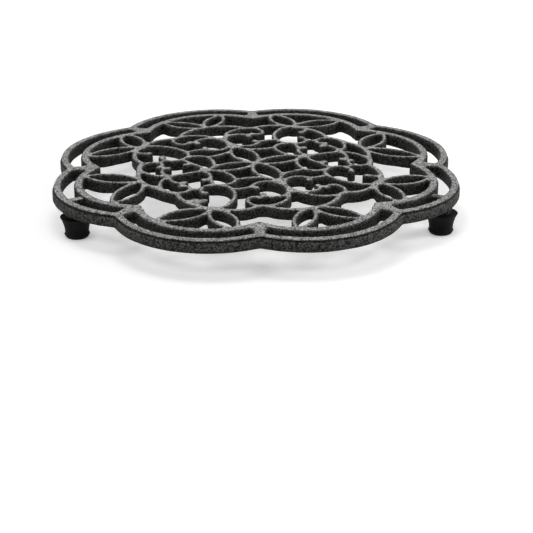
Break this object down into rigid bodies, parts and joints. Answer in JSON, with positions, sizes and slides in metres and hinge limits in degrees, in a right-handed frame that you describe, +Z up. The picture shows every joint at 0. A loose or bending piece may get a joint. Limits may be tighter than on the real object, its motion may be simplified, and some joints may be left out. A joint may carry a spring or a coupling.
{
  "type": "trivet",
  "caption": "Round cast-iron trivet with a scalloped double rim, an openwork grille of scrolls and pointed petals, and rubber feet.",
  "frame": {"origin": "middle of the rim, on the floor under the feet", "axes": "+Z up, through the middle of the grille; the grille is mirrored across X and across Y"},
  "size_m": [0.1964, 0.1964, 0.0211],
  "materials": {
    "iron": "sand-cast, matt, speckled grey top faces",
    "rubber": "matt black"
  },
  "bodies": {
    "root": {"grate": "iron", "foot_left": "rubber", "foot_right": "rubber", "foot_back": "rubber"}
  },
  "joints": []
}
